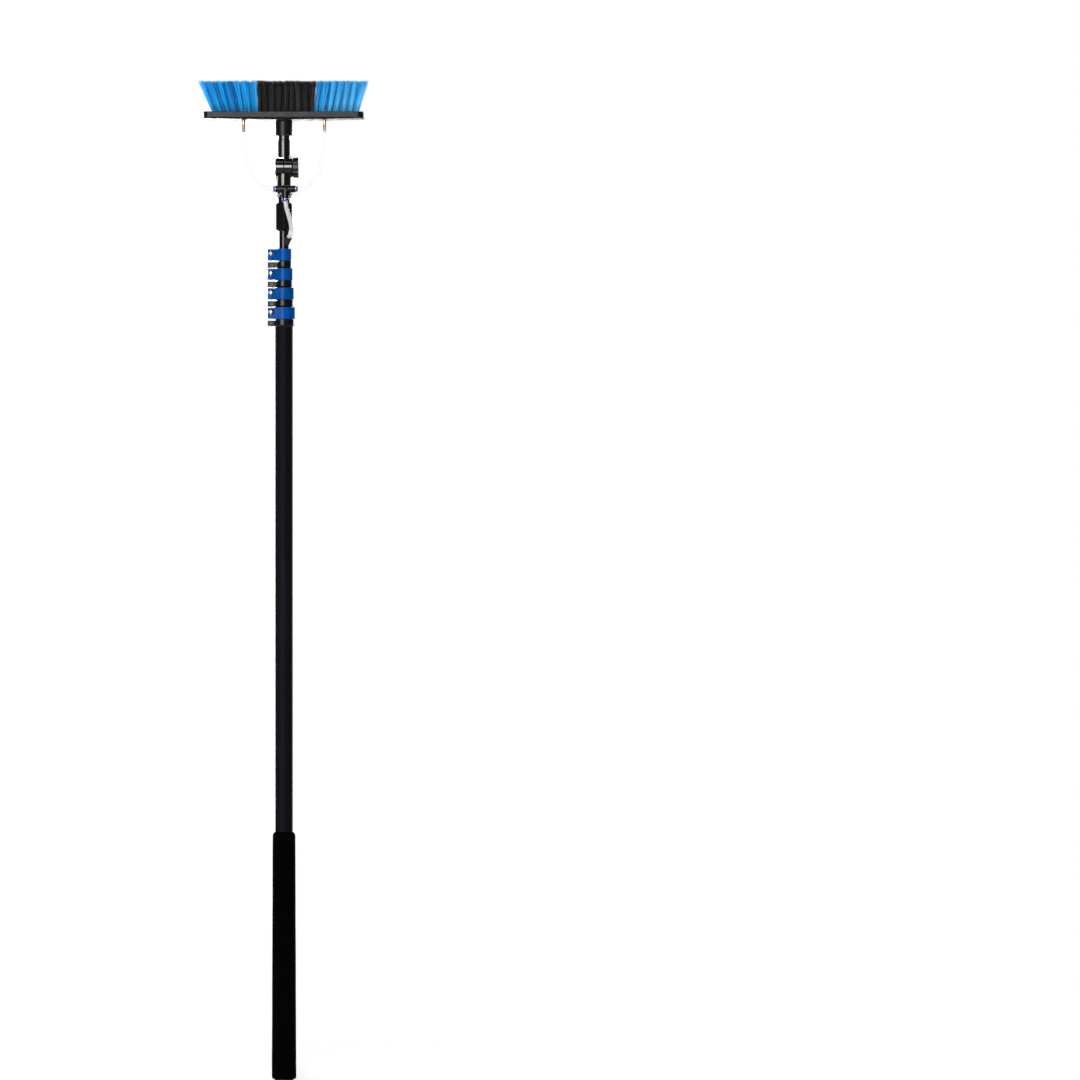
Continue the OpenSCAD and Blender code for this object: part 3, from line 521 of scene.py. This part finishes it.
def bristles(node, wander, pale_and_reflection_share):
    """Every filament of one field as a thin tapering mesh, fanning out from its tuft."""
    parts = []
    for foot, top, shade in tufts(node):
        feet, knees, tips, tones = tuft_filaments(foot, top, wander)
        # The row's painted shade is multiplied into the filaments' tones.
        parts.append((feet, knees, tips, tones * shade))
    feet, knees, tips, tones = (np.concatenate(part) for part in zip(*parts))
    t = np.linspace(0, 1, FILAMENT_STEPS)[None, :, None]
    line = (1 - t) ** 2 * feet[:, None] + 2 * t * (1 - t) * knees[:, None] + t**2 * tips[:, None]
    corner = np.arange(FILAMENT_SIDES) * 2 * np.pi / FILAMENT_SIDES
    corner = corner + rng.random(len(feet))[:, None] * np.pi
    square = np.stack([np.cos(corner), np.sin(corner), np.zeros_like(corner)], axis=-1)
    width = FILAMENT_RADIUS * (1 - FILAMENT_TAPER * t[..., None])
    points = line[:, :, None] + width * square[:, None]
    each = FILAMENT_STEPS * FILAMENT_SIDES
    walls = grid_faces(FILAMENT_STEPS, FILAMENT_SIDES)
    cap = np.arange(each - FILAMENT_SIDES, each)[None]
    faces = np.concatenate([walls, cap])[None] + each * np.arange(len(feet))[:, None, None]
    piece = mesh_piece(node + "_tufts", points, faces.reshape(-1, FILAMENT_SIDES), node)
    along = np.broadcast_to(t, points.shape[:3])
    side = (feet[:, 0] - feet[:, 0].min()) / np.ptp(feet[:, 0])
    # Pale tone and painted reflection: filaments are painted paler across the field towards +X and
    # towards their feet, as a reflection of light from the right and below; the random share is
    # each filament's own paler tone.
    pale_and_painted_reflection = 0.25 + 0.75 * side + rng.normal(0, 0.2, len(feet))
    pale_and_painted_reflection = pale_and_reflection_share * np.clip(pale_and_painted_reflection, 0, 1)
    pale_and_painted_reflection = pale_and_painted_reflection[:, None, None] * (1.15 - 0.5 * along)
    # A few filaments get a painted glint.
    painted_glint = (rng.random(len(feet)) < GLINT_SHARE)[:, None, None] * GLINT
    values = {
        "tone": np.broadcast_to(tones[:, None, None], along.shape),
        "along": along,
        "pale": np.clip(pale_and_painted_reflection + painted_glint, 0, 1),
    }
    for name, value in values.items():
        data = piece.data.attributes.new(name, "FLOAT", "POINT").data
        data.foreach_set("value", value.astype(np.float32).ravel())
    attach(piece, "head")


# The last number sets how much pale tone and painted reflection a field gets; the right field gets
# the most.
bristles("bristles_left", 1.2 * MM, 0.12)
bristles("bristles_middle", 2.5 * MM, 0.12)
bristles("bristles_right", 1.2 * MM, 0.65)


# ---- Grip ----

GRIP_SIDES, GRIP_RINGS = 96, 150
# How far up its rounding goes and how far in, at the lower and at the upper end.
GRIP_FOOT, GRIP_SHOULDER = (1.8 * MM, 1.6 * MM), (9 * MM, 5 * MM)
# Unevenness: waves round it, metres of length to a radian, phase and height.
GRIP_SWELLS = (
    (2, 0.03, 0.4, 0.06 * MM),
    (3, 0.019, 1.9, 0.05 * MM),
    (5, 0.011, 2.6, 0.03 * MM),
)


def grip():
    """Foam sleeve: tapered, with soft shoulders, slightly uneven, open for the tube."""
    low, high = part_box("hand_grip")
    tube_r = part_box("base_tube")[1].x + 0.05 * MM
    vertices = frame["nodes"]["hand_grip"].data.vertices
    tops = [v.co for v in vertices if v.co.z > high.z - 9.5 * MM]
    top_r = max(math.hypot(p.x, p.y) for p in tops)
    low_r, length = high.x, high.z - low.z
    share = np.linspace(0, 1, GRIP_RINGS)
    z = low.z + share * length
    radius = low_r + (top_r - low_r) * share
    for edge, (size, inset) in ((z - low.z, GRIP_FOOT), (high.z - z, GRIP_SHOULDER)):
        fall = np.clip(1 - edge / size, 0, 1)
        radius = radius - inset * (1 - np.sqrt(1 - fall**2))
    turn = np.linspace(0, 2 * np.pi, GRIP_SIDES, endpoint=False)
    swell = sum(
        height * np.sin(count * turn[None] + phase + share[:, None] * length / wave)
        for count, wave, phase, height in GRIP_SWELLS
    )
    outer_r = radius[:, None] + swell * np.clip((high.z - z) / (12 * MM), 0, 1)[:, None]
    inner_z = np.array([high.z - 0.3 * MM, low.z + 0.3 * MM])
    all_r = np.concatenate([outer_r, np.full((2, GRIP_SIDES), tube_r)])
    all_z = np.broadcast_to(np.concatenate([z, inner_z])[:, None], all_r.shape)
    points = np.stack([all_r * np.cos(turn), all_r * np.sin(turn), all_z], axis=-1)
    faces = grid_faces(len(points), GRIP_SIDES)
    column = np.arange(GRIP_SIDES)
    beside = (column + 1) % GRIP_SIDES
    last = (len(points) - 1) * GRIP_SIDES
    close = np.stack([last + column, last + beside, beside, column], axis=1)
    piece = mesh_piece("grip_sleeve", points, np.concatenate([faces, close]), "hand_grip")
    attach(piece, "base")


grip()


# ---- Hoses ----

HOSE_SIDES = 28
ACROSS = (0, 1, 0)
UP = Vector((0, 0, 1))
JET_R, JET_WALL = 3 * MM, 0.75 * MM
# Over a barb the tube is stretched by this much, its wall gets thinner, and the barb shows through.
BARB_STRETCH, BARB_THINNING = 1.1 * MM, 0.165 * MM
BARB_RIPPLE, BARB_RIPPLE_LENGTH = 0.12 * MM, 0.525 * MM
# Heights of the tube's last rings above the point where it meets its barb.
BARB_RINGS = np.array([3, 6, 8.5, 10, 11.5, 13, 14.5, 16, 17]) * MM
BARB_INSET, BARB_REACH = 3.7 * MM, 11.2 * MM
# How far the tube goes into its port, and sideways and down before it bends.
PORT_DEPTH, JET_SIDE, JET_DROP = 10 * MM, 34 * MM, 46 * MM
FEED_R, FEED_WALL = 4 * MM, 1.25 * MM
# The feed hose enters the tip tube on a slant: where round it, tilt, and depth below the sleeve.
ENTRY_AZIMUTH, ENTRY_TILT = math.radians(-46), math.radians(36)
ENTRY_BELOW_SLEEVE = 17 * MM
# Distances from the pole's axis between which the hose is straight.
ENTRY_OUTER, ENTRY_INNER = 17 * MM, 7 * MM


def jet_tube(side, name, collar, stands_for):
    """From inside its port, out through the collar, round and up over the barbs."""
    port = middle(collar)
    low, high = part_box(collar)
    face = high.x if side > 0 else low.x
    jet_low, jet_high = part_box("jet_barbs")
    jet_x = (jet_high.x - BARB_INSET) * side
    foot = Vector((jet_x, 0, jet_low.z - BARB_REACH))
    mouth = Vector((face + side * 1.1 * MM, port.y, port.z))
    out = Vector((side * JET_SIDE, 0, 0))
    bend = cubic([mouth, mouth + out, foot - UP * JET_DROP, foot], 40)
    start = Vector((port.x - side * PORT_DEPTH, port.y, port.z))
    rise = np.array(foot)[None] + BARB_RINGS[:, None] * np.array(UP)
    path = np.concatenate([[start], bend, rise])
    over = np.clip((path[:, 2] - foot.z - 5 * MM) / (4 * MM), 0, 1)
    over = over * (path[:, 0] * side > abs(jet_x) - MM)
    ripple = BARB_RIPPLE * np.sin((path[:, 2] - foot.z) / BARB_RIPPLE_LENGTH) * over
    radius = JET_R * np.ones(len(path)) + BARB_STRETCH * over + ripple
    bore = radius - JET_WALL + BARB_THINNING * over
    points, faces = hollow(path, radius, bore, HOSE_SIDES, ACROSS)
    piece = mesh_piece(name, points, faces, stands_for)
    dress(piece, faint_tube)
    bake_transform(piece)


def entry_point(reach, crossing):
    """Point on the feed hose's slanted stretch, at a distance reach from the pole's axis."""
    tube_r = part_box("tip_tube")[1].x
    height = crossing + (reach - tube_r) / math.tan(ENTRY_TILT)
    return np.array([reach * math.cos(ENTRY_AZIMUTH), reach * math.sin(ENTRY_AZIMUTH), height])


def feed_hose():
    """From the tee's leg, in through the grommet and down inside the pole to its stem."""
    collar_low, collar_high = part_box("collar_feed")
    port = (collar_low + collar_high) / 2
    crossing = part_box("hex_sleeve")[0].z - ENTRY_BELOW_SLEEVE
    mouth = np.array([port.x, port.y, collar_low.z - 0.6 * MM])
    outer, inner = entry_point(ENTRY_OUTER, crossing), entry_point(ENTRY_INNER, crossing)
    along = (outer - inner) / (ENTRY_OUTER - ENTRY_INNER)
    down = np.array([0, 0, inner[2] - 26 * MM])
    up = np.array(UP)
    path = np.concatenate([
        [mouth + up * 15 * MM],
        cubic([mouth, mouth - up * 20 * MM, outer + 12 * MM * along, outer], 36),
        cubic([inner, inner - 5 * MM * along, down + up * 12 * MM, down], 24),
        [[0, 0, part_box("feed_hose")[0].z]],
    ])
    radius = np.full(len(path), FEED_R)
    points, faces = hollow(path, radius, radius - FEED_WALL, HOSE_SIDES, ACROSS)
    piece = mesh_piece("feed_hose_clear", points, faces, "feed_hose")
    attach(piece, "tip")


jet_tube(-1, "jet_tube_left_clear", "collar_left", "jet_tube_left")
jet_tube(1, "jet_tube_right_clear", "collar_right", "jet_tube_right")
feed_hose()


# ---- Studio ----

POLE_HEIGHT = cad_high.z - cad_low.z
# Side of the square that the camera sees at the pole, and the pole's place in it.
FRAME_SIDE = 1.0774 * POLE_HEIGHT
POLE_FROM_LEFT = 0.263
TOP_MARGIN = 0.0745
CAMERA_DISTANCE = 14.0
SENSOR = 36.0
LIGHT_DISTANCE = 4.2
LIGHT_AIM = cad_low.z + 0.75 * POLE_HEIGHT
# Brightness of the surroundings, except to the camera, and how far down they turn lighter.
DIM, BELOW = 0.10, 0.75
BELOW_FROM, BELOW_FULL = -0.05, -0.3
FLOOR_REACH = 1.2


def camera():
    data = bpy.data.cameras.new("camera")
    data.sensor_width = SENSOR
    data.lens = SENSOR * CAMERA_DISTANCE / FRAME_SIDE
    data.clip_end = 100
    camera_object = bpy.data.objects.new("camera", data)
    bpy.context.scene.collection.objects.link(camera_object)
    x = (0.5 - POLE_FROM_LEFT) * FRAME_SIDE
    z = cad_high.z - (0.5 - TOP_MARGIN) * FRAME_SIDE
    camera_object.location = (x, -CAMERA_DISTANCE, z)
    camera_object.rotation_euler = (math.pi / 2, 0, 0)
    bpy.context.scene.camera = camera_object


def lamp(name, kind, azimuth, elevation):
    """A light aimed at the head. Azimuth 0 is the camera's side and positive is to its right."""
    data = bpy.data.lights.new(name, kind)
    light = bpy.data.objects.new(name, data)
    bpy.context.scene.collection.objects.link(light)
    a, e = math.radians(azimuth), math.radians(elevation)
    away = Vector((math.sin(a) * math.cos(e), -math.cos(a) * math.cos(e), math.sin(e)))
    light.location = Vector((0, 0, LIGHT_AIM)) + away * LIGHT_DISTANCE
    light.rotation_euler = away.to_track_quat("Z", "Y").to_euler()
    light.visible_camera = False
    return data


def strip(name, azimuth, elevation, size, radiance):
    """A tall soft light close by, for the sharp reflections on the head."""
    data = lamp(name, "AREA", azimuth, elevation)
    data.shape = "RECTANGLE"
    data.size, data.size_y = size
    data.energy = radiance * math.pi * size[0] * size[1]


def wide(name, azimuth, elevation, spread, strength):
    """A broad light that is the same all the way up, so an extended pole is lit too."""
    data = lamp(name, "SUN", azimuth, elevation)
    data.angle = math.radians(spread)
    data.energy = strength


def studio():
    """White backdrop that lights the object only dimly, so that black parts stay dark.

    From below it is lighter, like a studio's pale floor. That shows on upright surfaces that are
    seen from above."""
    world = bpy.data.worlds.new("studio")
    bpy.context.scene.world = world
    world.use_nodes = True
    nodes, links = world.node_tree.nodes, world.node_tree.links
    direction = nodes.new("ShaderNodeTexCoord")
    parts = nodes.new("ShaderNodeSeparateXYZ")
    links.new(direction.outputs["Generated"], parts.inputs[0])
    below = nodes.new("ShaderNodeMapRange")
    for name, value in {
        "From Min": BELOW_FROM, "From Max": BELOW_FULL, "To Min": DIM, "To Max": BELOW
    }.items():
        below.inputs[name].default_value = value
    links.new(parts.outputs["Z"], below.inputs["Value"])
    rays = nodes.new("ShaderNodeLightPath")
    mix = nodes.new("ShaderNodeMix")
    mix.data_type = "RGBA"
    links.new(rays.outputs["Is Camera Ray"], mix.inputs["Factor"])
    links.new(below.outputs[0], mix.inputs[MIX_FIRST])
    mix.inputs[MIX_SECOND].default_value = (1, 1, 1, 1)
    links.new(mix.outputs[MIX_RESULT], nodes["Background"].inputs["Color"])
    wide("key", -22, 8.5, 33, 3.6)
    wide("top", -10, 75, 30, 0.4)
    wide("behind_left", -165, 4, 30, 3.0)
    wide("behind_right", 150, 12, 30, 2.0)
    strip("front", -3, 18, (0.5, 2.0), 23)
    strip("rim_left", -100, 5, (0.5, 2.6), 1.2)
    strip("rim_right", 114, 5, (0.45, 2.6), 2.0)


def floor():
    """Pale floor that fades into the backdrop."""
    data = bpy.data.meshes.new("floor")
    corners = [(-1, -1), (1, -1), (1, 1), (-1, 1)]
    height = cad_low.z - 0.5 * MM
    points = [(x * FLOOR_REACH, y * FLOOR_REACH, height) for x, y in corners]
    data.from_pydata(points, [], [(0, 1, 2, 3)])
    piece = bpy.data.objects.new("floor", data)
    bpy.context.scene.collection.objects.link(piece)
    m = Material("floor")
    length = m.node("VectorMath", operation="LENGTH")
    m.put(length.inputs[0], m.place)
    away = length.outputs["Value"]
    dress(piece, m.shade(
        base_color=m.mix(m.noise(0.08, detail=4), scaled(GREY, 0.88), scaled(GREY, 0.92)),
        roughness=0.9,
        specular_ior_level=0.05,
        emission_color=(1, 1, 1),
        emission_strength=0.3,
        alpha=m.span(away, 0.25 * FLOOR_REACH, 0.95 * FLOOR_REACH, 1, 0),
    ))


camera()
studio()
floor()
bpy.context.scene.view_settings.view_transform = "Standard"
